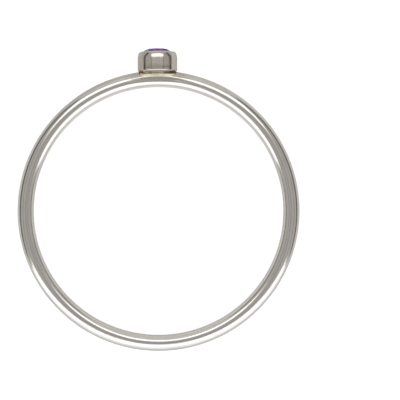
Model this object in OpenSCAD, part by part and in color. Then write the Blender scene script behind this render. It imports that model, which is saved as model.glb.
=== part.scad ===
// Stacking ring: a band of round wire with one small round stone in a bezel cup.
//
// Millimetres, +Z up. The ring lies on its side, as it does when it is put down. The cup is wider than the wire,
// so its edge and the far side of the band touch the table, and the ring leans a little.
// The origin is the centre of the finger hole, and +Y points from there to the stone.
// Each module below is drawn upright in the plane of the band, and lying() lays the finished piece down.

/* [Band] */
// Inside diameter of the band: 17.3 is a US ring size 7
inner_d = 17.3; // [14.1:0.1:22.2]
// Diameter of the round wire
wire_d = 1.13; // [0.9:0.01:1.3]

/* [Bezel cup] */
// Outside diameter of the cup
cup_d = 2.74; // [2.64:0.02:3]
// Height of the cup, from under its floor to the crest of its rim
cup_h = 1.35; // [1.3:0.01:1.6]
// How far the cup's floor is let into the top of the wire
cup_sink = 0.08; // [0.04:0.01:0.12]
// Radius of the rounding outside the rim
rim_round = 0.2; // [0.1:0.01:0.22]
// Radius of the rounding round the floor
floor_round = 0.1; // [0.04:0.01:0.16]
// Diameter of the round window in the rim, through which the stone shows
window_d = 2.11; // [1.9:0.01:2.16]
// Thickness of the rim where it was burnished down to an edge on the stone
lip_t = 0.006; // [0.004:0.001:0.02]
// Diameter of the hollow under the stone
hollow_d = 1.7; // [1.4:0.02:1.9]

/* [Stone] */
// Diameter at the girdle
stone_d = 2.25; // [2.2:0.01:2.3]
// Width of the table from corner to corner, as a share of the diameter
table_share = 0.605; // [0.53:0.005:0.65]
// Slope of the crown's kite facets, in degrees
crown_angle = 36; // [34:0.5:38]
// Slope of the pavilion's main facets, in degrees
pavilion_angle = 41; // [39:0.5:42]
// Height of the girdle at the tips of the kites
girdle_h = 0.05; // [0.05:0.005:0.08]
// Reach of the star facets, as a share of the way from the table's edge to the girdle
star_share = 0.5; // [0.4:0.01:0.6]
// Length of the lower girdle facets, as a share of the way from the girdle to the point
lower_share = 0.77; // [0.7:0.01:0.85]
// Height of the table above the crest of the rim
table_rise = 0.2; // [0.18:0.01:0.25]
// Turn of the stone about its own axis, in degrees
stone_turn = 30; // [0:1:44]
// Gap between the stone and the metal
fit_gap = 0.015; // [0.01:0.005:0.03]

/* [Solder] */
// Diameter of the solder foot between the cup's floor and the wire
foot_d = 1.02; // [0.7:0.02:1.1]
// Radius of the hollow curve where the foot meets the floor
foot_flare = 0.08; // [0.04:0.01:0.12]
// Length of the solder seam along the wire
seam_l = 2.1; // [1.4:0.05:2.4]
// Width of the solder seam across the wire
seam_w = 0.68; // [0.4:0.02:0.8]

/* [Hidden] */
$fn = 96;
// Smallest overlap that joins two shapes
bite = 0.02;
// Colours: polished silver, and a violet stone that lets some light through
silver = [0.76, 0.74, 0.71];
violet = [0.66, 0.47, 0.87, 0.8];

// Band
wire_r = wire_d / 2;
band_r = inner_d / 2 + wire_r;
band_top = band_r + wire_r;

// Cup: heights are counted upwards from under its floor
cup_r = cup_d / 2;
cup_foot = band_top - cup_sink;
window_r = window_d / 2;
hollow_r = hollow_d / 2;
crest_r = cup_r - rim_round;

// Stone: heights are counted upwards from the top of the girdle
facets = 8;
sector = 360 / facets;
between = sector / 2;
stone_r = stone_d / 2;
table_r = stone_r * table_share;
crown_h = (stone_r - table_r) * tan(crown_angle);
pavilion_h = stone_r * tan(pavilion_angle);
// The lower tip of a star facet lies where the planes of two kites meet
star_r = table_r * cos(between) + star_share * (stone_r - table_r * cos(between));
star_h = (stone_r - star_r * cos(between)) * tan(crown_angle);
// Slope of the ridge from a star's tip to the girdle, the steepest and outermost line of the crown
crown_ridge = atan(star_h / (stone_r - star_r));
// The lower girdle facets end where the planes of two mains meet
ridge_r = stone_r * (1 - lower_share);
ridge_h = (stone_r - ridge_r * cos(between)) * tan(pavilion_angle);

// Where the stone sits in the cup, and the inside faces of the cup one gap away from it
girdle_top = cup_h + table_rise - crown_h;
girdle_foot = girdle_top - girdle_h;
seat_r = stone_r + fit_gap;
floor_top = girdle_foot - pavilion_h - fit_gap;
function over_crown(r) = girdle_top + (stone_r - r) * tan(crown_ridge) + fit_gap / cos(crown_ridge);
function under_pavilion(r) = girdle_foot - (stone_r - r) * tan(pavilion_angle) - fit_gap / cos(pavilion_angle);

// Lean of the lying ring: the lowest point of the cup's rounded floor edge and the lowest point of the far side
// of the band are then at one height
edge_out = cup_r - floor_round;
edge_reach = band_r + cup_foot + floor_round;
lean = acos((wire_r - floor_round) / norm([edge_out, edge_reach])) - atan2(edge_reach, edge_out);

// Lays the ring down: the stone's side rises, because the cup lifts it
module lying() {
    rotate([lean, 0, 0]) children();
}

// Stands a turned shape on the top of the band, with its axis along +Y
module on_top(height) {
    translate([0, height, 0]) rotate([-90, 0, 0]) children();
}

// The ring of round wire
module band() {
    rotate_extrude() translate([band_r, 0]) circle(wire_r);
}

// Half of the cup's outside, from its axis out
module cup_outside() {
    translate([0, floor_round]) square([cup_r, cup_h - floor_round - rim_round]);
    square([cup_r - floor_round, 2 * floor_round]);
    square([crest_r, cup_h]);
    translate([cup_r - floor_round, floor_round]) circle(floor_round);
    translate([crest_r, cup_h - rim_round]) circle(rim_round);
}

// Half of the cup's inside: the hollow, the bearing seat, the girdle's groove and the slope under the rim,
// then the burnished bevel that runs up from the lip's edge to the crest, and the part of the blank inside it
module cup_inside() {
    lip = over_crown(window_r) + lip_t;
    above = cup_h + rim_round;
    polygon([
        [0, floor_top], [hollow_r, floor_top],
        [hollow_r, under_pavilion(hollow_r)], [seat_r, under_pavilion(seat_r)],
        [seat_r, over_crown(seat_r)], [window_r, over_crown(window_r)], [window_r, lip],
        [crest_r, cup_h], [crest_r, above], [0, above]
    ]);
}

// The bezel cup, turned about its own axis
module cup() {
    rotate_extrude() difference() {
        cup_outside();
        cup_inside();
    }
}

// The solder foot: a short stem from inside the wire up to the cup's floor, flared where it meets the floor
module solder_foot() {
    rotate_extrude() {
        translate([0, -wire_r]) square([foot_d / 2, wire_r + bite]);
        difference() {
            translate([0, -foot_flare]) square([foot_d / 2 + foot_flare, foot_flare + bite]);
            translate([foot_d / 2 + foot_flare, -foot_flare]) circle(foot_flare);
        }
    }
}

// The solder seam: what ran into the wedge between the floor and the round top of the wire
module solder_seam() {
    intersection() {
        translate([0, 0, -wire_r]) cylinder(d = seam_l, h = wire_r + bite);
        translate([-seam_l / 2, -seam_w / 2, -wire_r]) cube([seam_l, seam_w, wire_r + bite]);
    }
}

// Band, cup and solder are one piece of metal
module band_and_bezel() {
    color(silver) lying() {
        band();
        on_top(cup_foot) {
            cup();
            solder_foot();
            solder_seam();
        }
    }
}

// A point at radius r and height z, in direction az
function at(r, az, z) = [r * cos(az), r * sin(az), z];

// Where each ring of corners starts in the stone's list of points, and a corner's place in it
tips = facets;
upper = tips + facets;
lower = upper + 2 * facets;
ridge = lower + 2 * facets;
culet = ridge + facets;
function table_corner(i) = i % facets;
function star_tip(i) = tips + (i + facets) % facets;
function upper_edge(i) = upper + i % (2 * facets);
function lower_edge(i) = lower + i % (2 * facets);
function ridge_end(i) = ridge + (i + facets) % facets;

// The round brilliant on its own axis, with its girdle's top at height 0
module brilliant() {
    each_facet = [0 : facets - 1];
    each_edge = [0 : 2 * facets - 1];
    polyhedron(
        points = [
            for (i = each_facet) at(table_r, i * sector, crown_h),
            for (i = each_facet) at(star_r, i * sector + between, star_h),
            for (i = each_edge) at(stone_r, i * between, 0),
            for (i = each_edge) at(stone_r, i * between, -girdle_h),
            for (i = each_facet) at(ridge_r, i * sector + between, -girdle_h - ridge_h),
            [0, 0, -girdle_h - pavilion_h]
        ],
        faces = [
            // The table
            [for (i = [facets - 1 : -1 : 0]) table_corner(i)],
            // Stars, kites and upper girdle facets
            for (i = each_facet) [table_corner(i), table_corner(i + 1), star_tip(i)],
            for (i = each_facet) [table_corner(i), star_tip(i), upper_edge(2 * i), star_tip(i - 1)],
            for (i = each_facet) [star_tip(i), upper_edge(2 * i + 1), upper_edge(2 * i)],
            for (i = each_facet) [star_tip(i), upper_edge(2 * i + 2), upper_edge(2 * i + 1)],
            // The girdle
            for (i = each_edge) [upper_edge(i), upper_edge(i + 1), lower_edge(i + 1), lower_edge(i)],
            // Lower girdle facets and mains
            for (i = each_facet) [ridge_end(i), lower_edge(2 * i), lower_edge(2 * i + 1)],
            for (i = each_facet) [ridge_end(i), lower_edge(2 * i + 1), lower_edge(2 * i + 2)],
            for (i = each_facet) [lower_edge(2 * i), ridge_end(i), culet, ridge_end(i - 1)]
        ]
    );
}

// The stone in its cup
module stone() {
    color(violet) lying()
        on_top(cup_foot + girdle_top) rotate([0, 0, stone_turn]) brilliant();
}

band_and_bezel();
stone();
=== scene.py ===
# %% [markdown]
# # A stacking ring: round silver wire and one violet stone
# The real ring is made in four steps. A length of round wire is bent into a hoop and soldered shut, a
# small turned cup is soldered on its top, a round brilliant is dropped into the cup, and the cup's rim is
# pushed over the stone's edge with a burnisher. The whole is then polished.
#
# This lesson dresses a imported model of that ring. The model is exact but its meshes are coarse, which
# shows at once in polished metal, where a mirror image breaks up at every flat. So each part is worked
# out again as a smooth surface with numpy, in the same place and at the same size.

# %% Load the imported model
import math

import bpy
import numpy as np
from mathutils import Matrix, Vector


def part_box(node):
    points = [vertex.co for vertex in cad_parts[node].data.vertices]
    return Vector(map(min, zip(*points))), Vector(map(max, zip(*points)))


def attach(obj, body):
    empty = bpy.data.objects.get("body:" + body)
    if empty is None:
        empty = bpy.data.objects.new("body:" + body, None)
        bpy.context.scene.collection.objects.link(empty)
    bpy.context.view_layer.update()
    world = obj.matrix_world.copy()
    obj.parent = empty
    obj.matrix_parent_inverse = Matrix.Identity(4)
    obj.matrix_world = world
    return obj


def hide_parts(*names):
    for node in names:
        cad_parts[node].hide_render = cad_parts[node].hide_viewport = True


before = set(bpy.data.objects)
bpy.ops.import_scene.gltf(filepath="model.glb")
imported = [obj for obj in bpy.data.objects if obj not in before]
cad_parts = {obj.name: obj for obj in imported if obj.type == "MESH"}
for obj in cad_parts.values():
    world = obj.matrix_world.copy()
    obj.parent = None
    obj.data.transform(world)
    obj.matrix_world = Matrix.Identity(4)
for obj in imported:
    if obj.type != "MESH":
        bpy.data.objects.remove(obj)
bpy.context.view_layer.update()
print("nodes:", sorted(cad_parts))

# %% [markdown]
# ## Sizes
# A goldsmith works in millimetres, and Blender's scene is in metres, so shapes are worked out in
# millimetres and brought over once, when they become meshes. The band's outside radius is read from the
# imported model, and the other sizes of the band and the cup are the ones that the model was drawn from.

# %% Sizes of the band and the cup, in millimetres
MM = 0.001
METAL_NODE, STONE_NODE = "band_and_bezel", "stone"
band_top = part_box(METAL_NODE)[1].x / MM
wire_r = 1.13 / 2
band_r = band_top - wire_r
cup_r = 2.74 / 2
cup_h = 1.35
cup_sink = 0.08
cup_foot = band_top - cup_sink
floor_round = 0.1
print(f"centre line of the wire: radius {band_r:.3f} mm, wire {2 * wire_r:.2f} mm")

# %% [markdown]
# ## How the ring lies
# Put down on a table, the ring rests on the far side of its band and on the cup, which is wider than the
# wire. The stone's end is therefore a little higher. The angle follows from the two points that touch:
# the lowest point of the cup's rounded floor edge and the lowest point of the wire must be at one height.
# Every shape below is worked out in the plane of the band, with the stone towards +Y, and is then leaned
# by that angle.

# %% Lay a set of points down
edge_out = cup_r - floor_round
edge_reach = band_r + cup_foot + floor_round
to_both = math.acos((wire_r - floor_round) / math.hypot(edge_out, edge_reach))
lean = to_both - math.atan2(edge_reach, edge_out)
table_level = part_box(METAL_NODE)[0].z


def laid_down(points):
    """Turns points, in millimetres, about X by the lean, and gives them in metres."""
    x, y, z = np.moveaxis(points, -1, 0)
    cosine, sine = math.cos(lean), math.sin(lean)
    return np.stack([x, y * cosine - z * sine, y * sine + z * cosine], -1) * MM


print(f"the ring leans {math.degrees(lean):.2f} degrees")

# %% [markdown]
# ## From arrays to meshes
# Two kinds of surface cover all the metal. One closes on itself both ways, like a tyre. The other closes
# round an axis and ends in a point at each end, like an onion. Both are grids of points, so their faces
# follow from row and column numbers alone, and numpy can write all of them at once.


# %% Faces of the two kinds of grid
def tyre_faces(rows, columns):
    """Joins each point to the next along its row and its column, and the last to the first both ways."""
    row, column = np.meshgrid(np.arange(rows), np.arange(columns), indexing="ij")
    after, beside = (row + 1) % rows, (column + 1) % columns
    corners = [row * columns + column, after * columns + column,
               after * columns + beside, row * columns + beside]
    return np.stack(corners, -1).reshape(-1, 4).tolist()


def onion_faces(rows, columns):
    """Quads between rows that close round the axis, and a fan of triangles to one point at each end."""
    row, column = np.meshgrid(np.arange(rows - 1), np.arange(columns), indexing="ij")
    beside = (column + 1) % columns
    corners = [row * columns + column, row * columns + beside,
               (row + 1) * columns + beside, (row + 1) * columns + column]
    quads = np.stack(corners, -1).reshape(-1, 4).tolist()
    around = np.arange(columns)
    beside = (around + 1) % columns
    last = (rows - 1) * columns
    first_point, last_point = rows * columns, rows * columns + 1
    first_fan = np.stack([np.full(columns, first_point), beside, around], -1).tolist()
    last_fan = np.stack([np.full(columns, last_point), last + around, last + beside], -1).tolist()
    return quads + first_fan + last_fan


# %% Make a piece of the ring
def make_piece(name, points, faces, node, grain=None, smooth=True):
    """Makes a mesh from points, in millimetres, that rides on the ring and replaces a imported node."""
    mesh = bpy.data.meshes.new(name)
    mesh.from_pydata(laid_down(points).reshape(-1, 3).tolist(), [], faces)
    mesh.polygons.foreach_set("use_smooth", np.full(len(mesh.polygons), smooth))
    if grain is not None:
        lay = mesh.attributes.new("grain", "FLOAT_VECTOR", "POINT")
        lay.data.foreach_set("vector", np.ascontiguousarray(grain, dtype=np.float32).ravel())
    mesh.validate()
    piece = bpy.data.objects.new(name, mesh)
    bpy.context.scene.collection.objects.link(piece)
    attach(piece, "root")
    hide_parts(node)
    triangles = sum(len(face) - 2 for face in faces)
    print(f"{name}: {len(mesh.vertices)} points, {triangles} triangles")
    return piece


# %% [markdown]
# ## The band
# The band is one piece of round wire, so its surface is a circle carried round a larger circle: a torus.
# It could come from a curve with a round bevel, but a formula leaves room for what hands and tools did to
# the wire. It isn't quite even, because it was drawn, bent round a mandrel and filed after soldering.
# Near the cup its two faces were rubbed a little flat, and the hoop is a hair wider than it is long. Such
# errors are a few hundredths of a millimetre deep at most, yet they bend every reflection, and they are
# what makes polished wire look real.

# %% How far the wire is from perfect, in millimetres
uneven_depth, wave_count = 0.0012, 14
period_range, twist_range = (2, 40), (-3, 4)
flat_depth, flat_reach, flat_softness = 0.036, 1.8, 0.003
oval = 0.003


def unevenness(along, around):
    """A sum of sine waves with random whole numbers of periods both ways, so that it closes on itself.

    Each wave is divided by the root of its periods along the hoop, so long waves are deeper.
    """
    dice = np.random.default_rng(seed=4)
    total = np.zeros(np.broadcast(along, around).shape)
    for _ in range(wave_count):
        periods = dice.integers(*period_range)
        twist = dice.integers(*twist_range)
        total += np.sin(periods * along + twist * around + dice.uniform(0, 2 * math.pi)) / periods**0.5
    return uneven_depth * total / math.sqrt(wave_count)


def soft_smaller(a, b, width):
    """The smaller of two numbers, with a round change from one to the other that is about width wide.

    It is half their sum, less half the root of their difference squared plus the width squared.
    """
    return 0.5 * (a + b - np.sqrt((a - b) ** 2 + width**2))


def wire_radius(along, around):
    """The wire's radius, cut down to a flat on both faces near the cup, less the size of the unevenness.

    In each direction a flat is as far away as it is straight up, divided by the sine of that direction.
    The sine has a least value, because towards the inside and the outside of the hoop no flat is met.
    """
    from_cup = band_r * (along - math.pi / 2)
    flat = wire_r - flat_depth * np.exp(-((from_cup / flat_reach) ** 2))
    least_sine = 0.2
    to_flat = flat / np.maximum(np.abs(np.sin(around)), least_sine)
    return soft_smaller(wire_r, to_flat, flat_softness) - np.abs(unevenness(along, around))


print(f"flats up to {flat_depth} mm deep, unevenness about {uneven_depth} mm")

# %% Work out the wire's surface
band_rows, band_columns = 768, 96
along = (np.arange(band_rows) * 2 * math.pi / band_rows - math.pi / 2)[:, None]
around = (np.arange(band_columns) * 2 * math.pi / band_columns)[None, :]
radius = wire_radius(along, around)
from_axis = band_r + radius * np.cos(around)
band_points = np.stack([(1 + oval) * from_axis * np.cos(along), (1 - oval) * from_axis * np.sin(along),
                        radius * np.sin(around)], -1)
# The grain runs from the cup down both sides of the hoop, and drifts a little, so that the sides differ
drift = 0.4
band_grain = np.stack([wire_r * np.cos(around) + drift * np.cos(along),
                       wire_r * np.sin(around) + 0 * along,
                       band_r * np.abs(along - math.pi / 2) + 0 * around], -1)
band_faces = tyre_faces(band_rows, band_columns)
band = make_piece("band", band_points, band_faces, METAL_NODE, band_grain)

# %% [markdown]
# ## Outlines with round corners
# The cup was turned and then burnished, so it is an outline carried round an axis. A real edge is never
# sharp: each corner of the outline has a radius of its own. A circular arc between two straight lines can
# be written as a weighted blend of three points, the two where it touches the lines and the corner
# between them.


# %% Round the corners of an outline
def rounded(corners, steps=9):
    """Corners are (radius, height, rounding). The middle point weighs the cosine of half the turn."""
    place = np.array([corner[:2] for corner in corners])
    outline = [place[:1]]
    share = np.linspace(0, 1, steps)[:, None]
    for before, here, after, (_, _, rounding) in zip(place, place[1:], place[2:], corners[1:-1]):
        back, ahead = before - here, after - here
        back, ahead = back / np.linalg.norm(back), ahead / np.linalg.norm(ahead)
        half_inside = math.acos(np.clip(back @ ahead, -1, 1)) / 2
        reach = rounding / math.tan(half_inside)
        weight = math.sin(half_inside)
        start, end = here + back * reach, here + ahead * reach
        blend = (1 - share) ** 2 * start + 2 * share * (1 - share) * weight * here + share**2 * end
        outline.append(blend / ((1 - share) ** 2 + 2 * share * (1 - share) * weight + share**2))
    return np.concatenate([*outline, place[-1:]])


def filled_in(outline, spacing):
    """Adds points along an outline, so that no two are further apart than about the spacing."""
    length = np.concatenate([[0], np.cumsum(np.linalg.norm(np.diff(outline, axis=0), axis=1))])
    wanted = np.union1d(length.round(6), np.arange(0, length[-1], spacing).round(6))
    return np.stack([np.interp(wanted, length, outline[:, axis]) for axis in (0, 1)], -1)


# %% [markdown]
# ## The stone
# The stone is a round brilliant: a flat table, eight kites and eight stars round it, and below the girdle
# eight mains that meet in a point, each between two lower halves. Its planes fix everything, so it needs
# only the slopes and the shares that a cutter works to. Each ring of corners is an array of eight or
# sixteen points. The faces stay flat and unsmoothed, because the light inside depends on each being a
# true mirror.

# %% Sizes of the stone, in millimetres
stone_r = 2.25 / 2
table_r = 0.605 * stone_r
crown_angle, pavilion_angle = math.radians(36), math.radians(41)
girdle_h = 0.05
star_share, lower_share = 0.5, 0.77
table_rise = 0.2
stone_turn = math.radians(30)
fit_gap = 0.015
facets = 8
half_sector = math.pi / facets
crown_h = (stone_r - table_r) * math.tan(crown_angle)
pavilion_h = stone_r * math.tan(pavilion_angle)
star_r = table_r * math.cos(half_sector) + star_share * (stone_r - table_r * math.cos(half_sector))
star_h = (stone_r - star_r * math.cos(half_sector)) * math.tan(crown_angle)
ridge_r = stone_r * (1 - lower_share)
ridge_h = (stone_r - ridge_r * math.cos(half_sector)) * math.tan(pavilion_angle)
girdle_top = cup_h + table_rise - crown_h
girdle_foot = girdle_top - girdle_h
print(f"stone: {2 * stone_r:.2f} mm across, {crown_h + girdle_h + pavilion_h:.2f} mm deep")


# %% Corners and facets of the stone
def ring_of(radius, height, count, first=0.0):
    """Corners on a circle round the stone's axis, evenly spaced, at a height above the cup's foot."""
    angle = stone_turn + first + np.arange(count) * 2 * math.pi / count
    across, through = radius * np.cos(angle), -radius * np.sin(angle)
    return np.stack([across, np.full(count, cup_foot + height), through], -1)


stone_points = np.concatenate([
    ring_of(table_r, girdle_top + crown_h, facets),
    ring_of(star_r, girdle_top + star_h, facets, half_sector),
    ring_of(stone_r, girdle_top, 2 * facets),
    ring_of(stone_r, girdle_foot, 2 * facets),
    ring_of(ridge_r, girdle_foot - ridge_h, facets, half_sector),
    ring_of(0, girdle_foot - pavilion_h, 1),
])
# Where each ring of corners starts in that list
table, tips, upper, lower, ridge, culet = (0, facets, 2 * facets, 4 * facets, 6 * facets, 7 * facets)
stone_faces = [[table + i for i in range(facets)]]
for i in range(facets):
    after, before = (i + 1) % facets, (i - 1) % facets
    edge = [(2 * i + k) % (2 * facets) for k in range(3)]
    stone_faces += [
        [table + after, table + i, tips + i],
        [tips + i, table + i, tips + before, upper + edge[0]],
        [upper + edge[1], tips + i, upper + edge[0]],
        [upper + edge[2], tips + i, upper + edge[1]],
        [upper + edge[1], upper + edge[0], lower + edge[0], lower + edge[1]],
        [upper + edge[2], upper + edge[1], lower + edge[1], lower + edge[2]],
        [lower + edge[0], ridge + i, lower + edge[1]],
        [lower + edge[1], ridge + i, lower + edge[2]],
        [ridge + i, lower + edge[0], ridge + before, culet],
    ]
stone = make_piece("brilliant", stone_points, stone_faces, STONE_NODE, smooth=False)

# %% [markdown]
# ## The bezel cup
# From the outside the cup is a short drum with a soft lower edge. Its upper third leans in a little,
# where the wall followed the burnisher, and ends in a round rim. From the crest of the rim a narrow
# bright bevel slopes down to the stone. Inside are the bearing on which the stone sits, and a hollow for
# its point. The inside is modelled too, because the stone shows it.
#
# A burnisher is pushed by hand, from one side and then from the other, so the opening isn't quite round
# and the bevel is wider in some places. The outline is therefore shifted in and out along the stone's
# slope, by a few hundredths of a millimetre, as it goes round.

# %% Outline of the cup, in millimetres
hollow_r = 1.7 / 2
window_r = 2.11 / 2
seat_r = stone_r + fit_gap
crown_ridge = math.atan(star_h / (stone_r - star_r))
floor_top = girdle_foot - pavilion_h - fit_gap
# The floor lies a hair lower than it is drawn, and its edge is a little rounder
floor_drop, floor_edge = 0.025, 0.13
# The wall bends in below the rim, and the rim is a rounding of the corner that it runs to
bend_below, bend_round = 0.278, 0.885
rim_in, rim_up, rim_round = 0.127, 0.037, 0.14
# The lip is a hair thicker than it is drawn, so that its two edges can be round
lip_t, lip_above, lip_below = 0.008, 0.004, 0.003
fine_edge, hollow_edge = 0.01, 0.03


def over_crown(r):
    """Height of the metal on the stone's crown, one gap above the slope of its steepest ridge."""
    return girdle_top + (stone_r - r) * math.tan(crown_ridge) + fit_gap / math.cos(crown_ridge)


def under_pavilion(r):
    """Height of the bearing, one gap below the slope of the stone's mains."""
    return girdle_foot - (stone_r - r) * math.tan(pavilion_angle) - fit_gap / math.cos(pavilion_angle)


cup_outline = filled_in(rounded([
    (0, -floor_drop, 0),
    (cup_r, -floor_drop, floor_edge),
    (cup_r, cup_h - bend_below, bend_round),
    (cup_r - rim_in, cup_h + rim_up, rim_round),
    (window_r, over_crown(window_r) + lip_t, lip_above),
    (window_r, over_crown(window_r), lip_below),
    (seat_r, over_crown(seat_r), fine_edge),
    (seat_r, under_pavilion(seat_r), fine_edge),
    (hollow_r, under_pavilion(hollow_r), fine_edge),
    (hollow_r, floor_top, hollow_edge),
    (0, floor_top, 0),
]), spacing=0.035)
print(f"crest of the rim: {cup_outline[:, 1].max():.3f} mm above the cup's foot, drawn {cup_h} mm")


# %% Carry the outline round
def turned_on_top(outline, columns, in_and_out):
    """Carries (radius, height) round the stone's axis, shifted in each direction by what in_and_out gives.

    The first and the last height of the outline become the two end points on the axis.
    """
    angle = (np.arange(columns) * 2 * math.pi / columns)[None, :]
    radius, height = outline[1:-1, 0][:, None], outline[1:-1, 1][:, None]
    shift, rise = in_and_out(radius, height, angle)
    radius, height = radius + shift, height + rise + 0 * angle
    rows = np.stack([radius * np.cos(angle), cup_foot + height, -radius * np.sin(angle)], -1)
    ends = np.array([[0, cup_foot + outline[0, 1], 0], [0, cup_foot + outline[-1, 1], 0]])
    grain = np.stack([radius, height, cup_r * (angle + 0 * height)], -1)
    end_grain = np.array([[0, outline[0, 1], 0], [0, outline[-1, 1], 0]])
    points = np.concatenate([rows.reshape(-1, 3), ends])
    grain = np.concatenate([grain.reshape(-1, 3), end_grain])
    return points, grain, onion_faces(len(outline) - 2, columns)


def ripples(angle, *waves):
    """A sum of sine waves round the axis. Each is (depth, how many go round, start)."""
    return sum(depth * np.sin(count * angle + start) for depth, count, start in waves)


# The opening's waves fade out from the window to the crest, and the wall's flats are deepest near the rim
crest_r = cup_r - 0.18
strokes_start, strokes_full, strokes_below = cup_h - 0.6, cup_h - 0.2, 0.35


def burnished(radius, height, angle):
    """Three slow waves push the rim in and out, and three quick ones leave faint flats on the wall.

    The push is whole at the window and gone at the crest, and the metal slides along the stone's slope.
    The quick waves grow from the seat's radius out to the wall's, and upwards to the rim.
    """
    near_lip = np.clip((radius - window_r) / (window_r - crest_r) + 1, 0, 1) * (height > girdle_top)
    push = ripples(angle, (0.012, 1, 0.3), (0.006, 3, 2.0), (0.004, 7, 0))
    wall = np.clip((radius - seat_r) / (cup_r - seat_r), 0, 1)
    strokes = ripples(angle, (0.0016, 9, 1.1), (0.0012, 16, 0.4), (0.0008, 23, 0))
    rim_only = np.clip((height - strokes_start) / (strokes_full - strokes_start), 0, 1)
    shift = near_lip * push + wall * strokes * (strokes_below + (1 - strokes_below) * rim_only)
    return shift, -near_lip * push * math.tan(crown_ridge)


cup_points, cup_grain, cup_faces = turned_on_top(cup_outline, 192, burnished)
cup = make_piece("bezel_cup", cup_points, cup_faces, METAL_NODE, cup_grain)

# %% [markdown]
# ## The solder
# Silver solder runs where the metal is hot and the gap is narrow. Here it made a short stem between the
# flat floor of the cup and the round top of the wire, with a hollow curve where it wets each of them, and
# a thin seam that crept along the wire. A drop stayed at the seam's left end. Stem and seam are both
# blobs round the cup's axis: their radius depends on the height and on the direction, with a curve that
# flares at the top and at the bottom.

# %% Sizes of the stem and the seam, in millimetres, and the drop's direction
foot_l, foot_w, foot_flare = 1.0, 0.92, 0.04
seam_l, seam_w, seam_flare = 2.1, 0.68, 0.03
wire_flare = 0.03
# A flare falls off within this share of its own size
top_fade, wire_fade = 0.45, 0.6
drop_size, drop_direction, drop_width = 0.33, 3.55, 0.2
# No solder stands out past the cup, and each blob ends inside the wire and inside the cup's floor
solder_limit = 0.97 * cup_r
blob_low, blob_top, blob_rows = -0.4, 0.03, 44


def oblong(angle, length, width, power):
    """Radius of a superellipse: x and y over half the length and width, each to a power, add up to 1."""
    across = np.abs(np.cos(angle) * 2 / length) ** power + np.abs(np.sin(angle) * 2 / width) ** power
    return across ** (-1 / power)


def stem_radius(angle):
    """Nearly a square with round corners, made uneven by three and by seven waves."""
    return oblong(angle, foot_l, foot_w, 4) * (1 + ripples(angle, (0.015, 3, 2.1), (0.012, 7, 0)))


def seam_radius(angle):
    """A long oblong, made uneven by three and by eight waves."""
    return oblong(angle, seam_l, seam_w, 3) * (1 + ripples(angle, (0.03, 3, 1), (0.02, 8, 0)))


def stem_top_flare(angle):
    """The stem's flare is the same all round."""
    return foot_flare + 0 * angle


def seam_top_flare(angle):
    """The seam's flare, plus a bell curve round the direction in which the drop stayed."""
    return seam_flare + drop_size * np.exp(-(((angle - drop_direction) / drop_width) ** 2))


print(f"stem {foot_l} by {foot_w} mm, seam {seam_l} by {seam_w} mm")


# %% Build the stem and the seam
def wire_height(x, z):
    """Height of the wire's surface above the cup's foot, over a point beside the axis.

    It is the torus solved for its height, with a least root for points past the edge of the wire.
    """
    least_square = 0.01
    across = np.sqrt(np.maximum(wire_r**2 - z**2, least_square))
    return np.sqrt((band_r + across) ** 2 - x**2) - cup_foot


def flared(height, radius, angle, top_flare):
    """A stem's radius, plus a flare that fades with the distance below the cup and above the wire."""
    above_wire = height - wire_height(radius * np.cos(angle), radius * np.sin(angle))
    at_top = top_flare * np.exp(np.minimum(height, 0) / (top_fade * top_flare))
    at_wire = wire_flare * np.exp(-np.abs(above_wire) / (wire_fade * wire_flare))
    return np.minimum(radius + at_top + at_wire, solder_limit)


def solder_blob(name, radius_at, top_flare_at):
    """A column of radius one round the cup's axis, shifted in each direction to the flared radius."""
    heights = np.linspace(blob_low, blob_top, blob_rows)
    heights = np.concatenate([heights[:1], heights, heights[-1:]])
    outline = np.stack([np.ones_like(heights), heights], -1)

    def shape(radius, height, angle):
        """How far a point moves out: the flared radius less its own. It doesn't rise."""
        return flared(height, radius_at(angle), angle, top_flare_at(angle)) - radius, 0 * angle

    points, grain, faces = turned_on_top(outline, 144, shape)
    return make_piece(name, points, faces, METAL_NODE, grain)


solder_foot = solder_blob("solder_foot", stem_radius, stem_top_flare)
solder_seam = solder_blob("solder_seam", seam_radius, seam_top_flare)

# %% [markdown]
# ## Effects that several finishes share
# Polished metal is a mirror with a history: fine lines from the polishing cloth, a few deeper scratches
# from wear, and a haze where fingers touched it. Each of these is a node group with its own inputs, so
# the wire, the cup and the solder can use the same effect at different strengths.


# %% Helpers for node trees
def fill(tree, node, **inputs):
    """Gives each named input a value or a link. An underscore is a space, and i0 is the first input."""
    for key, value in inputs.items():
        socket = node.inputs[int(key[1:])] if key[1:].isdigit() else node.inputs[key.replace("_", " ")]
        if isinstance(value, bpy.types.NodeSocket):
            tree.links.new(value, socket)
        else:
            socket.default_value = value


def add_node(tree, kind, settings=(), **inputs):
    """Adds a node, sets its properties and fills its inputs."""
    node = tree.nodes.new(kind)
    for key, value in dict(settings).items():
        setattr(node, key, value)
    fill(tree, node, **inputs)
    return node


def new_group(name, inputs, outputs):
    """Starts a node group. An input of None is a vector, and any other input is a number."""
    group = bpy.data.node_groups.new(name, "ShaderNodeTree")
    for title, value in inputs.items():
        kind = "NodeSocketVector" if value is None else "NodeSocketFloat"
        socket = group.interface.new_socket(name=title, in_out="INPUT", socket_type=kind)
        if value is not None:
            socket.default_value = value
    for title in outputs:
        group.interface.new_socket(name=title, in_out="OUTPUT", socket_type="NodeSocketFloat")
    return group, group.nodes.new("NodeGroupInput").outputs, group.nodes.new("NodeGroupOutput")


def new_material(name):
    """A material, with its tree and the shader that a new tree comes with."""
    material = bpy.data.materials.new(name)
    material.use_nodes = True
    return material, material.node_tree, material.node_tree.nodes["Principled BSDF"]


def object_place(tree):
    """The place on the piece, in metres from the ring's middle."""
    return add_node(tree, "ShaderNodeTexCoord").outputs["Object"]


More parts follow.
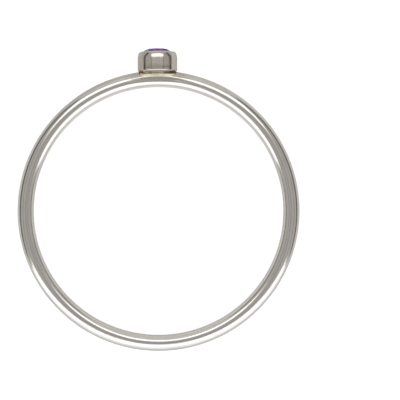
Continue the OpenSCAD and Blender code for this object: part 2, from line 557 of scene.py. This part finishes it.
def split_axes(tree, vector):
    """The X, Y and Z of a vector."""
    return add_node(tree, "ShaderNodeSeparateXYZ", Vector=vector).outputs


# %% Helpers that calculate
def calculate(tree, operation, *values):
    """One sum, difference, product or other operation on one or two values."""
    inputs = {f"i{k}": value for k, value in enumerate(values)}
    return add_node(tree, "ShaderNodeMath", {"operation": operation}, **inputs).outputs[0]


def product(tree, *masks):
    """All masks multiplied, so that the result is there only where each of them is."""
    result = masks[0]
    for mask in masks[1:]:
        result = calculate(tree, "MULTIPLY", result, mask)
    return result


def ramp(tree, value, low, high, to_low=0.0, to_high=1.0):
    """Carries a value from low..high to to_low..to_high, with soft ends."""
    return add_node(tree, "ShaderNodeMapRange", {"interpolation_type": "SMOOTHSTEP"}, Value=value,
                    From_Min=low, From_Max=high, To_Min=to_low, To_Max=to_high).outputs["Result"]


def only_between(tree, value, rise, fall):
    """A mask that goes from 0 to 1 over the range rise, and back to 0 over the range fall."""
    return product(tree, ramp(tree, value, *rise), ramp(tree, value, *fall, 1, 0))


def mix_numbers(tree, mask, first, second):
    """The first number where the mask is 0, the second where it is 1."""
    return add_node(tree, "ShaderNodeMix", {"data_type": "FLOAT"}, i0=mask, i2=first, i3=second).outputs[0]


def mix_colours(tree, mask, first, second):
    """The first colour where the mask is 0, the second where it is 1."""
    return add_node(tree, "ShaderNodeMix", {"data_type": "RGBA"}, i0=mask, i6=first, i7=second).outputs[2]


def noise(tree, vector, scale, detail, roughness=0.5):
    """The value of a cloudy noise, between 0 and 1."""
    return add_node(tree, "ShaderNodeTexNoise", Vector=vector, Scale=scale, Detail=detail,
                    Roughness=roughness).outputs["Fac"]


# %% Polishing lines, scratches, haze and dents
def polish_lines():
    """Noise that is stretched along the grain, so that it reads as lines.

    Scratches are the few peaks of a second, coarser noise, which lies a little askew to the grain.
    """
    group, given, out = new_group(
        "Polishing lines", {"Grain": None, "Lines per mm": 14.0, "Stretch": 0.06}, ["Fine", "Scratch"])
    across = given["Lines per mm"]
    size = add_node(group, "ShaderNodeCombineXYZ", X=across, Y=across,
                    Z=calculate(group, "MULTIPLY", across, given["Stretch"])).outputs[0]
    place = add_node(group, "ShaderNodeVectorMath", {"operation": "MULTIPLY"}, i0=given["Grain"],
                     i1=size).outputs[0]
    askew, peaks = (0.25, 0.2, 0.1), (0.66, 0.74)
    turned = add_node(group, "ShaderNodeVectorRotate", {"rotation_type": "EULER_XYZ"}, Vector=place,
                      Rotation=askew).outputs[0]
    coarse = noise(group, turned, scale=0.45, detail=1.0, roughness=0.4)
    fine = noise(group, place, scale=1.0, detail=4.0, roughness=0.6)
    fill(group, out, Fine=fine, Scratch=ramp(group, coarse, *peaks))
    return group


def handling():
    """Soft patches of haze from a noise, and small dents round the middles of scattered cells."""
    group, given, out = new_group("Handling", {"Place": None, "Patch size mm": 2.0}, ["Haze", "Dents"])
    haze_edge, dent_edge, dents_per_patch = (0.4, 0.72), (0.06, 0.2), 2.6
    scale = calculate(group, "DIVIDE", 1 / MM, given["Patch size mm"])
    haze = noise(group, given["Place"], scale, detail=4.0, roughness=0.6)
    from_dent = add_node(group, "ShaderNodeTexVoronoi", {"feature": "F1"}, Vector=given["Place"],
                         Scale=calculate(group, "MULTIPLY", scale, dents_per_patch)).outputs["Distance"]
    fill(group, out, Haze=ramp(group, haze, *haze_edge),
         Dents=ramp(group, from_dent, *dent_edge, 1.0, 0.0))
    return group


LINES, HANDLING = polish_lines(), handling()
print("node groups:", [group.name for group in bpy.data.node_groups])

# %% [markdown]
# ## Oxide, heat tint and painted shade at the joint
# Solder needs heat, and heat leaves a brown skin of oxide that polishing can't reach in the corner
# between the cup and the wire. The dark mask is that oxide together with painted shade of the corner
# under the cup: it is strong under the cup's floor and fades within a fraction of a millimetre. The heat
# also left a faint straw tint on the wire, and low on the cup's wall the colour holds painted shade. All
# of it is worked out from Object coordinates, which are turned back by the lean, and a noise breaks its
# edges.

# %% Where the oxide, the heat tint and the painted shade are, in millimetres
# Most are counted aside, to the left or the right of the cup's axis. The wall shade's start and stop and
# the tint's top are counted above the cup's foot, and one pair from the ring's middle. Each pair is the
# stretch over which a mark sets in or dies away
stem_edge, skin_end, torch_pull = (0.44, 0.54), (0.76, 0.88), 0.33
right_side_turn = (-0.3, 0.3)
seam_start, seam_stop, drop_push = (1.06, 1.16), (1.36, 1.5), 0.14
under_cup = (0.95, 1.25)
tint_end, tint_from_middle, tint_top = (1.9, 2.8), (8.85, 9.2), (-0.09, -0.03)
wall_shade_start, wall_shade_stop, wall_shade_sides = (0.12, 0.2), (-0.1, 0.35), (0.85, 1.0)
# The skin fades up and down over this stretch, in shares of its reach
skin_fade = (0.2, 1.0)
# How dark the skin is at the seam's left and right end, and elsewhere under the cup
left_and_right_share, plain_share = (0.6, 0.5), 0.6
# How much further the skin reaches at the stem, and beside it
stem_and_side_reach = (1.6, 1.0)
# The noise is about 0.5 on average, so with this added it makes the reach uneven, and no longer on average
blotch_lift = 0.5
blotches_per_mm, tint_blotch, wall_shade_blotch = 4, 0.8, 0.4
print(f"dark skin beside the stem: from {stem_edge[0]} to {skin_end[1] + torch_pull:.2f} mm aside")


# %% Masks of the corner under the cup
def joint_corner():
    """Mask is the dark skin: oxide and painted corner shade. The other output is straw tint and painted
    wall shade.
    """
    group, given, out = new_group("Joint corner", {"Place": None, "Reach mm": 0.3}, ["Mask", "Heat"])
    upright = add_node(group, "ShaderNodeVectorRotate", {"rotation_type": "X_AXIS"}, Vector=given["Place"],
                       Angle=-lean).outputs[0]
    axes = split_axes(group, upright)
    to_right = calculate(group, "DIVIDE", axes["X"], MM)
    to_stone = calculate(group, "DIVIDE", axes["Y"], MM)
    aside = calculate(group, "ABSOLUTE", to_right)
    above = calculate(group, "SUBTRACT", to_stone, cup_foot)
    blotch = noise(group, given["Place"], blotches_per_mm / MM, detail=3.0)

    # The dark skin beside the stem, oxide and painted shade, reaches further on the right
    torch = ramp(group, to_right, *right_side_turn)
    past_right_side = calculate(group, "SUBTRACT", aside, calculate(group, "MULTIPLY", torch, torch_pull))
    by_stem = product(group, ramp(group, aside, *stem_edge), ramp(group, past_right_side, *skin_end, 1, 0))

    # The two ends of the seam are dark as well, and the left one lies further out, past the drop
    past_drop = calculate(group, "SUBTRACT", aside, ramp(group, torch, 0, 1, drop_push, 0))
    seam_ends = product(group, only_between(group, past_drop, seam_start, seam_stop),
                        ramp(group, torch, 0, 1, *left_and_right_share))
    share = calculate(group, "MAXIMUM", by_stem, seam_ends)
    share = calculate(group, "MAXIMUM", share, ramp(group, aside, *under_cup, plain_share, 0.0))

    # The skin is darkest level with the cup's foot, and at the stem it reaches further up and down
    reach = product(group, given["Reach mm"], calculate(group, "ADD", blotch, blotch_lift),
                    ramp(group, aside, *stem_edge, *stem_and_side_reach))
    from_foot = calculate(group, "DIVIDE", calculate(group, "ABSOLUTE", above), reach)
    dark = product(group, ramp(group, from_foot, *skin_fade, 1.0, 0.0), share)

    # A faint straw tint on the wire to both sides of the cup, where it was hot for longest
    warm_reach = calculate(group, "ADD", aside, calculate(group, "MULTIPLY", blotch, tint_blotch))
    warmed = product(group, ramp(group, warm_reach, *tint_end, 1, 0),
                     ramp(group, to_stone, *tint_from_middle), ramp(group, above, *tint_top, 1, 0))

    # On the cup's wall painted shade starts above the floor's round edge and fades upwards
    wall_shade_top = calculate(group, "SUBTRACT", above, calculate(group, "MULTIPLY", blotch, wall_shade_blotch))
    wall_shaded = product(group, ramp(group, above, *wall_shade_start), ramp(group, wall_shade_top, *wall_shade_stop, 1, 0),
                   ramp(group, aside, *wall_shade_sides, 1, 0))
    fill(group, out, Mask=dark, Heat=calculate(group, "MAXIMUM", warmed, wall_shaded))
    return group


CORNER = joint_corner()
print("joint corner:", len(CORNER.nodes), "nodes")

# %% [markdown]
# ## Silver
# Sterling silver has a warm, slightly grey reflection. In the material the colour varies by a few parts
# in a hundred, the roughness follows the polishing lines and the haze, and a bump carries lines,
# scratches and small dents. The polish is good but not optical: reflections are clear and a little soft.


# %% Build the metal's material
def silver_finish(name, colour, heat_tint_and_shade, roughness, patch_mm, lines_per_mm, oxide_and_shade_mm, oxide_and_shade_share,
                  relief_mm):
    """Mirror metal. Haze, heat tint, painted shade and dark skin colour it; haze, lines, scratches, skin
    roughen it.
    """
    material, tree, shader = new_material(name)
    place = object_place(tree)
    grain = add_node(tree, "ShaderNodeAttribute", {"attribute_name": "grain"}).outputs["Vector"]
    polish = add_node(tree, "ShaderNodeGroup", {"node_tree": LINES}, Grain=grain,
                      Lines_per_mm=lines_per_mm).outputs
    wear = add_node(tree, "ShaderNodeGroup", {"node_tree": HANDLING}, Place=place,
                    Patch_size_mm=patch_mm).outputs
    corner = add_node(tree, "ShaderNodeGroup", {"node_tree": CORNER}, Place=place,
                      Reach_mm=oxide_and_shade_mm).outputs
    haze, scratch, fine = wear["Haze"], polish["Scratch"], polish["Fine"]
    # The dark skin: oxide, and painted shade in the corner under the cup
    oxide_and_shade = calculate(tree, "MULTIPLY", corner["Mask"], oxide_and_shade_share)

    under_haze, fine_height, dent_depth = 0.93, 0.5, 1.2
    dull = tuple(under_haze * part for part in colour[:3]) + (1.0,)
    tone = mix_colours(tree, haze, colour, dull)
    # Straw tint on the wire, and painted shade low on the cup's wall
    tone = mix_colours(tree, corner["Heat"], tone, heat_tint_and_shade)
    tone = mix_colours(tree, oxide_and_shade, tone, OXIDE_AND_SHADE)

    rough = roughness
    for mask, added in ((haze, 0.05), (fine, 0.06), (scratch, 0.08), (oxide_and_shade, 0.3)):
        rough = calculate(tree, "ADD", rough, calculate(tree, "MULTIPLY", mask, added))

    relief = calculate(tree, "SUBTRACT", calculate(tree, "MULTIPLY", fine, fine_height), scratch)
    relief = calculate(tree, "SUBTRACT", relief, calculate(tree, "MULTIPLY", wear["Dents"], dent_depth))
    bumped = add_node(tree, "ShaderNodeBump", Strength=1.0, Distance=relief_mm * MM,
                      Height=relief).outputs[0]
    fill(tree, shader, Metallic=1.0, Base_Color=tone, Roughness=rough, Normal=bumped)
    return material


WIRE_SILVER, STRAW_TINT = (0.92, 0.875, 0.815, 1.0), (0.75, 0.70, 0.61, 1.0)
# The cup's second colour is painted shade, low on its wall
CUP_SILVER, CUP_WALL_SHADE = (0.88, 0.80, 0.705, 1.0), (0.56, 0.50, 0.42, 1.0)
SOLDER = (0.76, 0.70, 0.53, 1.0)
# Colour of the dark skin: oxide, and painted shade in the corner under the cup
OXIDE_AND_SHADE = (0.07, 0.05, 0.028, 1.0)
band.data.materials.append(silver_finish(
    "Silver wire", WIRE_SILVER, STRAW_TINT, roughness=0.10, patch_mm=2.4, lines_per_mm=14, oxide_and_shade_mm=0.17,
    oxide_and_shade_share=0.95, relief_mm=0.0010))
cup.data.materials.append(silver_finish(
    "Silver cup", CUP_SILVER, CUP_WALL_SHADE, roughness=0.09, patch_mm=1.2, lines_per_mm=18, oxide_and_shade_mm=0.02,
    oxide_and_shade_share=0.95, relief_mm=0.0003))
for blob in (solder_foot, solder_seam):
    blob.data.materials.append(silver_finish(
        "Solder", SOLDER, SOLDER, roughness=0.24, patch_mm=0.5, lines_per_mm=10, oxide_and_shade_mm=0.25,
        oxide_and_shade_share=0.5, relief_mm=0.004))
metal_pieces = (band, cup, solder_foot, solder_seam)
print("finishes:", [piece.active_material.name for piece in metal_pieces])

# %% [markdown]
# ## The violet stone
# The stone is clear and strongly refracting, and its colour is in its body, so light that crosses more of
# it comes out deeper. That is what volume absorption does: lilac where the way is short, and dark violet
# where the light is thrown to and fro. A faint film of dust and finger grease softens the surface here
# and there.

# %% Build the stone's material
gem, gem_tree, gem_shader = new_material("Violet stone")
film = add_node(gem_tree, "ShaderNodeGroup", {"node_tree": HANDLING}, Place=object_place(gem_tree),
                Patch_size_mm=0.6).outputs["Haze"]
clear, clouded = (0.96, 0.88, 1.0, 1.0), (0.90, 0.80, 0.97, 1.0)
mirrored_tint, body_tint = (0.35, 0.15, 0.6, 1.0), (0.60, 0.22, 0.97, 1.0)
refraction, absorption, film_roughness = 2.15, 540.0, 0.03
fill(gem_tree, gem_shader, Metallic=0.0, Transmission_Weight=1.0, IOR=refraction,
     Specular_Tint=mirrored_tint, Base_Color=mix_colours(gem_tree, film, clear, clouded),
     Roughness=calculate(gem_tree, "MULTIPLY", film, film_roughness))
body = add_node(gem_tree, "ShaderNodeVolumeAbsorption", Color=body_tint, Density=absorption).outputs[0]
fill(gem_tree, gem_tree.nodes["Material Output"], Volume=body)
stone.data.materials.append(gem)
print(f"stone: refraction {refraction}, absorption {absorption} for each metre")

# %% [markdown]
# ## The table
# The ring lies on a plain white table, which is a wide disc a hair below it. Under studio light such a
# table photographs as pure white. Its own brightness in the metal is lower, as that of white paper next
# to a lamp, so what the camera sees directly gets a little light of its own. From a low angle that is
# less near the ring, which leaves its soft shadow to be seen.
#
# In what the metal mirrors, the paper has a painted pool of light inside the hoop near the stone, and
# painted shade left of the cup. The camera's own view of the paper shows neither.


# %% Sheets of the stage, given by their corners in millimetres
def flat_sheet(name, corners):
    """One flat face of the stage, with the given corners."""
    mesh = bpy.data.meshes.new(name)
    mesh.from_pydata((np.array(corners) * MM).tolist(), [], [list(range(len(corners)))])
    piece = bpy.data.objects.new(name, mesh)
    bpy.context.scene.collection.objects.link(piece)
    return piece


def circle(radius, centre_y, level, steps):
    """Points on a level circle: the cosine and the sine of evenly spaced angles, times the radius."""
    angle = np.arange(steps) * 2 * math.pi / steps
    x, y = radius * np.cos(angle), centre_y + radius * np.sin(angle)
    return np.stack([x, y, np.full(steps, level)], -1)


table_radius, hair = 600, 0.004
table_top = flat_sheet("table_top", circle(table_radius, 0, table_level / MM - hair, 96))
table_top.visible_transmission = False
print(f"table: {table_radius} mm to its edge, {-table_level / MM:.3f} mm below the ring's middle")

# %% Where the paper changes
# Each pair is the stretch over which it changes, in metres from the ring's middle
clear_of_ring = (13 * MM, 21 * MM)
towards_stone, in_hoop_end = (2 * MM, 5 * MM), (7.5 * MM, 9 * MM)
left_of_middle, level_with_cup = (-6 * MM, -2 * MM), (8.5 * MM, 10 * MM)
# The paper's own light: seen from above and from a low angle, added clear of the ring, and inside the hoop
from_above, from_low, added_far_off, added_in_hoop = 0.7, 0.48, 0.5, 0.14
low_angle = (0.1, 0.5)
# The second paper colour is painted shade, which only the metal shows
white_paper, shaded_paper = (0.82, 0.81, 0.80, 1.0), (0.66, 0.66, 0.66, 1.0)
print(f"the paper is plain white from {clear_of_ring[1] / MM:.0f} mm on")

# %% Build the table's paper
paper, paper_tree, paper_shader = new_material("White table")
seen = add_node(paper_tree, "ShaderNodeLightPath").outputs["Is Camera Ray"]
slant = add_node(paper_tree, "ShaderNodeLayerWeight", Blend=0.5).outputs["Facing"]
paper_place = object_place(paper_tree)
away = add_node(paper_tree, "ShaderNodeVectorMath", {"operation": "LENGTH"},
                i0=paper_place).outputs["Value"]
glare = calculate(paper_tree, "ADD", ramp(paper_tree, slant, *low_angle, from_above, from_low),
                  ramp(paper_tree, away, *clear_of_ring, 0, added_far_off))
paper_axes = split_axes(paper_tree, paper_place)
# A painted pool of light inside the hoop and painted shade left of the cup, both only in the metal
in_hoop = product(paper_tree, ramp(paper_tree, paper_axes["Y"], *towards_stone, 0, added_in_hoop),
                  ramp(paper_tree, away, *in_hoop_end, 1, 0))
left_of_cup = product(paper_tree, ramp(paper_tree, paper_axes["X"], *left_of_middle, 1, 0),
                      ramp(paper_tree, paper_axes["Y"], *level_with_cup))
shade = product(paper_tree, left_of_cup, calculate(paper_tree, "SUBTRACT", 1.0, seen))
fill(paper_tree, paper_shader, Specular_IOR_Level=0.0, Emission_Color=(1.0, 1.0, 1.0, 1.0),
     Emission_Strength=mix_numbers(paper_tree, seen, in_hoop, glare),
     Base_Color=mix_colours(paper_tree, shade, white_paper, shaded_paper))
table_top.data.materials.append(paper)
print("paper:", len(paper_tree.nodes), "nodes")

# %% [markdown]
# ## The light panels
# Polished metal shows its surroundings and little else, so the light is designed as a small room. It is a
# light tent, not much larger than a hand. Two bright panels do the work: one hangs over the far side,
# beside the opening for the lens, and one stands on the table at the near side and is dimmer at its foot.
# They are close to the ring, so each part of the hoop shows them at another angle, and the bright lines
# in the wire shift as they go round. A dark bar low on the left and the right gives the wire its dark
# edge lines.


# %% Build the panels
def panel(name, corners, brightness, at_foot=None, foot_height=13, only_in_metal=False):
    """A flat panel that glows. It may be dimmer at its foot, up to a height above the ring's middle."""
    piece = flat_sheet(name, corners)
    piece.visible_camera = False
    piece.visible_transmission = False
    piece.visible_diffuse = piece.visible_shadow = not only_in_metal
    material, tree, shader = new_material(name)
    fill(tree, shader, Base_Color=BLACK, Specular_IOR_Level=0.0, Emission_Color=COOL_LIGHT,
         Emission_Strength=brightness)
    if at_foot is not None:
        level = split_axes(tree, object_place(tree))["Z"]
        fill(tree, shader, Emission_Strength=ramp(tree, level, 0, foot_height * MM, at_foot, brightness))
    piece.data.materials.append(material)
    print(f"{name}: brightness {brightness}")


def between_edges(low_width, low_edge, high_width, high_edge):
    """Corners of a panel that is alike to the left and the right. Each edge is (y, z)."""
    return [(-low_width / 2, *low_edge), (low_width / 2, *low_edge),
            (high_width / 2, *high_edge), (-high_width / 2, *high_edge)]


BLACK, COOL_LIGHT = (0.0, 0.0, 0.0, 1.0), (0.965, 1.0, 1.03, 1.0)
far_outline = between_edges(low_width=62, low_edge=(15.2, 47.7), high_width=88, high_edge=(51.8, 59.7))
near_outline = between_edges(low_width=92, low_edge=(-22.3, -0.9), high_width=92, high_edge=(-22.3, 42.7))
panel("far_panel", far_outline, brightness=1.45)
panel("near_panel", near_outline, brightness=1.3, at_foot=0.86)
# The bars stand to the left and the right of the ring. Their outline is a list of (y, z)
bar_distance, bar_outline = 22, ((-8, 1), (12, 2.5), (30, 9), (30, 18), (12, 8), (-8, 4.5))
for side, turn in (("left", -1), ("right", 1)):
    bar = [(bar_distance * turn, y, z) for y, z in bar_outline]
    panel(f"{side}_bar", bar, brightness=0.1, only_in_metal=True)
lens_radius, lens_y, lens_height = 14, -6, 75
panel("lens_front", circle(lens_radius, lens_y, lens_height, 32), brightness=0.31)

# %% [markdown]
# ## The tent
# Behind the panels is the cloth of the tent. It is grey, brighter at the far side, with a thin dark seam
# on each side of the ceiling. It is painted on the world by direction, with soft edges, which gives a
# clean render with few samples.
#
# A clear stone sparkles only in a room with many small lamps and dark places between them. Such a room
# would spoil the calm lines in the silver, so light that comes out of the stone meets its own pattern of
# lamps.

# %% Read a direction
world = bpy.data.worlds.new("Light tent")
bpy.context.scene.world = world
world.use_nodes = True
sky = world.node_tree
sky.nodes.clear()
direction = add_node(sky, "ShaderNodeTexCoord").outputs["Generated"]
toward = split_axes(sky, direction)
steepness = calculate(sky, "ARCCOSINE", toward["Z"])
degrees_from_above = calculate(sky, "MULTIPLY", steepness, 180 / math.pi)
least_lift = 0.02
lift = calculate(sky, "MAXIMUM", toward["Z"], least_lift)
slope_aside = calculate(sky, "DIVIDE", calculate(sky, "ABSOLUTE", toward["X"]), lift)
print("directions:", len(sky.nodes), "nodes")

# %% Paint the cloth
cloth, seam_gap, lower_wall, upper_wall = 0.38, 0.07, 0.48, 0.58
# The seam runs between two slopes aside, down to some degrees from straight above
seam_inner, seam_outer, seam_end = (0.63, 0.67), (0.71, 0.75), (50, 60)
far_sides, far_top, wall_fade = (0.55, 0.85), (34, 46), (68, 84)
seam = product(sky, only_between(sky, slope_aside, seam_inner, seam_outer),
               ramp(sky, degrees_from_above, *seam_end, 1, 0))
tent = mix_numbers(sky, seam, cloth, seam_gap)
far_wall = ramp(sky, degrees_from_above, *wall_fade, upper_wall, lower_wall)
far_side = product(sky, ramp(sky, toward["Y"], *far_sides), ramp(sky, degrees_from_above, *far_top))
tent = mix_numbers(sky, far_side, tent, far_wall)
print(f"cloth {cloth}, far wall {lower_wall} to {upper_wall}, seam {seam_gap}")

# %% Hang the small lamps that only the stone shows
lamp, white_ground, cell_scale = 3.0, 1.05, 2.6
cells = add_node(sky, "ShaderNodeTexVoronoi", Vector=direction, Scale=cell_scale).outputs["Color"]
cell = add_node(sky, "ShaderNodeSeparateColor", Color=cells).outputs[0]
# Each cell has a chance number, and the higher that is, measured from a mark, the brighter the cell. In
# front of the stone the mark is low, so more cells shine there
mark = ramp(sky, toward["Y"], low=-0.1, high=0.6, to_low=0.8, to_high=0.3)
lamps = ramp(sky, calculate(sky, "SUBTRACT", cell, mark), low=-0.1, high=0.45)
# Straight out from the stone no lamp shows, because whoever looks at it is in the way there
eye = ramp(sky, toward["Y"], low=0.95, high=0.975, to_low=1, to_high=0)
between_lamps = ramp(sky, toward["Y"], low=0, high=0.6, to_low=0.02, to_high=0.22)
sparkle = mix_numbers(sky, product(sky, lamps, eye), between_lamps, lamp)
kind_of_ray = add_node(sky, "ShaderNodeLightPath").outputs
tent = mix_numbers(sky, kind_of_ray["Is Transmission Ray"], tent, sparkle)
tent = mix_numbers(sky, kind_of_ray["Is Camera Ray"], tent, white_ground)
# Dim cloth is warm, and bright cloth is a little cool
warm, cool = (1.03, 1.0, 0.96, 1), (0.98, 1.0, 1.02, 1)
tint = mix_colours(sky, tent, warm, cool)
glow = add_node(sky, "ShaderNodeBackground", Color=tint, Strength=tent)
add_node(sky, "ShaderNodeOutputWorld", Surface=glow.outputs[0])
print("tent:", len(sky.nodes), "nodes")

# %% [markdown]
# ## The camera
# The ring lies flat, so the camera looks straight down on it, as it would in a photograph taken along the
# finger hole. A long lens keeps the hoop round. The ring sits left of the middle and a little low, which
# is the lens shifted and not the camera turned.

# %% Build the camera
# The side of the picture, and where the ring's middle is in it, in pixels from the left and from the top
IMAGE_SIDE = 400
ring_centre = (158.05, 211.06)
camera_height = 88.34 * MM
roll = math.radians(-0.43)
camera = bpy.data.cameras.new("camera")
camera.lens = 114.3
camera.sensor_width = 36
camera.shift_x = ((IMAGE_SIDE - 1) / 2 - ring_centre[0]) / IMAGE_SIDE
camera.shift_y = (ring_centre[1] - (IMAGE_SIDE - 1) / 2) / IMAGE_SIDE
camera.clip_start, camera.clip_end = 1 * MM, 5.0
camera_object = bpy.data.objects.new("camera", camera)
camera_object.location = (0, 0, camera_height)
camera_object.rotation_euler = (0, 0, roll)
bpy.context.scene.collection.objects.link(camera_object)
bpy.context.scene.camera = camera_object
bpy.context.scene.view_settings.view_transform = "Standard"
bpy.context.scene.cycles.max_bounces = 24
bpy.context.scene.cycles.transmission_bounces = 20
bpy.context.scene.cycles.glossy_bounces = 10
print(f"camera: {camera_height / MM:.1f} mm above the ring's middle, lens {camera.lens:.0f} mm")
